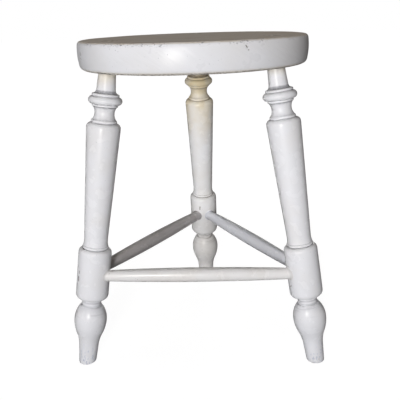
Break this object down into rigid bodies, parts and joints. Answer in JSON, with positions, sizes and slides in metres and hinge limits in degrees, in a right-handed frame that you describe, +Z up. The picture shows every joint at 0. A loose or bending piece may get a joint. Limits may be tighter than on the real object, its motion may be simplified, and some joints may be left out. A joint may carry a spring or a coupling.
{
  "type": "tripod stool",
  "caption": "Round-seated wooden tripod stool: splayed turned legs wedged through the seat and tied low down by swelled turned stretchers, under aged off-white gloss paint.",
  "frame": {"origin": "on the floor, under the middle of the seat", "axes": "+Z up along the seat's axis, +Y towards the back leg, +X to the right seen from the front stretcher"},
  "size_m": [0.3654, 0.3675, 0.457],
  "materials": {
    "painted_wood": "aged off-white gloss paint, chipped and yellowed under the seat",
    "wedge_wood": "painted over on its end grain"
  },
  "bodies": {
    "root": {"seat": "painted_wood", "left_leg": "painted_wood", "right_leg": "painted_wood", "back_leg": "painted_wood", "front_stretcher": "painted_wood", "left_stretcher": "painted_wood", "right_stretcher": "painted_wood", "left_leg_wedge": "wedge_wood", "right_leg_wedge": "wedge_wood", "back_leg_wedge": "wedge_wood"}
  },
  "joints": []
}
